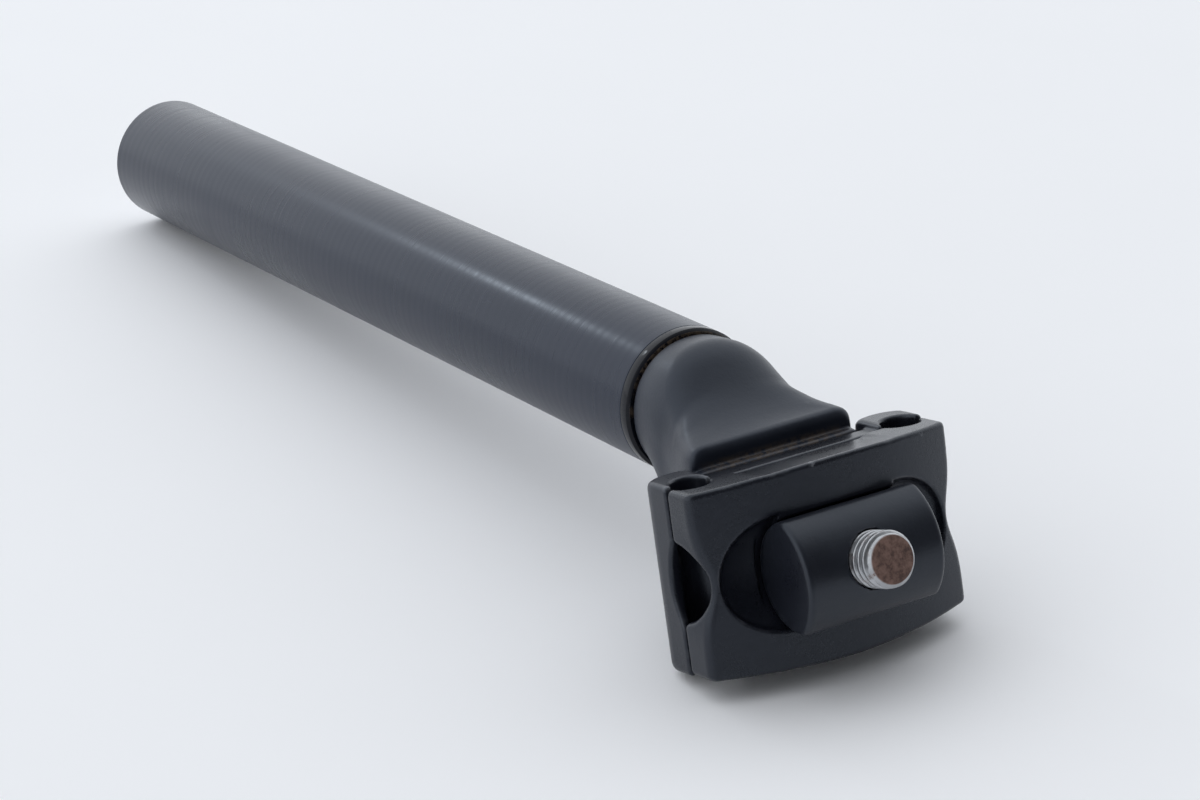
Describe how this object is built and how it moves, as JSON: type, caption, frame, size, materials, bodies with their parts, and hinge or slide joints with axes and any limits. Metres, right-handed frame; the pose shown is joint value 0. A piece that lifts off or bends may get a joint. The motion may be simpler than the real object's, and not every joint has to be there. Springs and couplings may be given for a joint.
{
  "type": "suspension seatpost",
  "caption": "Bicycle suspension seatpost: a plain tube, a forged set-back head on a sliding shaft, and a rocking two-half saddle clamp held by one bolt and a half-round nut.",
  "frame": {"origin": "centre of the outer tube's lower end, on the tube's axis", "axes": "+X along the tube towards the saddle clamp, +Z the front of the bicycle as the post lies on its back, Y across the bicycle"},
  "size_m": [0.2861, 0.054, 0.0483],
  "materials": {
    "black_anodised": "satin black anodised, fine turned lines",
    "gloss_black_ring": "gloss black anodised",
    "dirty_rubber": "rubber with dried dirt",
    "black_rubber": "matte",
    "glide_plastic": "natural",
    "brass": "drawn",
    "bare_aluminium": "turned",
    "spring_steel": "plain",
    "elastomer": "matte urethane",
    "forged_black": "blasted and black anodised forging",
    "clamp_black": "blasted and black anodised forging, worn edges",
    "nut_black": "satin black anodised",
    "worn_bolt": "worn plating with rust on its end"
  },
  "bodies": {
    "post": {"outer_tube": "black_anodised", "top_collar": "gloss_black_ring", "bottom_out_ring": "dirty_rubber", "wiper_seal": "black_rubber", "upper_bushing": "glide_plastic", "guide_keys": "brass", "top_out_bumper": "black_rubber"},
    "sprung_head": {"head": "forged_black", "inner_shaft": "bare_aluminium", "lower_bushing": "glide_plastic", "bushing_circlip": "spring_steel", "shaft_plug": "bare_aluminium", "flat_washer": "spring_steel"},
    "spring_stack": {"elastomer_spring": "elastomer", "stack_spacer": "glide_plastic", "coil_spring": "spring_steel", "spring_guide": "glide_plastic", "thrust_washer": "spring_steel"},
    "preload_plug": {"preload_plug": "bare_aluminium"},
    "lower_clamp": {"lower_clamp": "clamp_black"},
    "upper_clamp": {"upper_clamp": "clamp_black"},
    "barrel_nut": {"barrel_nut": "nut_black"},
    "clamp_bolt": {"clamp_bolt": "worn_bolt", "lock_washer": "spring_steel"}
  },
  "joints": [
    {"name": "suspension_slide", "type": "slide", "parent": "post", "child": "sprung_head", "axis": [1, 0, 0], "range_m": [0, 0.03]},
    {"name": "saddle_tilt", "type": "hinge", "parent": "sprung_head", "child": "lower_clamp", "pos_m": [0.2748, 0, -0.0147], "axis": [0, -1, 0], "range_deg": [-5, 23]},
    {"name": "bolt_turn", "type": "hinge", "parent": "sprung_head", "child": "clamp_bolt", "pos_m": [0.2748, 0, -0.0147], "axis": [0.9588, 0, 0.284], "range_deg": [-1441, 0]},
    {"name": "nut_lift", "type": "slide", "parent": "sprung_head", "child": "barrel_nut", "axis": [0.9588, 0, 0.284], "range_m": [0, 0.006]},
    {"name": "upper_clamp_lift", "type": "slide", "parent": "lower_clamp", "child": "upper_clamp", "axis": [0.9914, 0, 0.1305], "range_m": [0, 0.0024]},
    {"name": "preload_turn", "type": "hinge", "parent": "spring_stack", "child": "preload_plug", "pos_m": [0, 0, 0], "axis": [1, 0, 0], "range_deg": [0, 2881]},
    {"name": "preload_lift", "type": "slide", "parent": "post", "child": "spring_stack", "axis": [1, 0, 0], "range_m": [0, 0.012]}
  ],
  "couplings": [
    {"joint": "bolt_turn", "follows": "nut_lift", "rad_per_m": -4188.8},
    {"joint": "upper_clamp_lift", "follows": "nut_lift", "ratio": 0.398},
    {"joint": "preload_turn", "follows": "preload_lift", "rad_per_m": 4188.8}
  ]
}
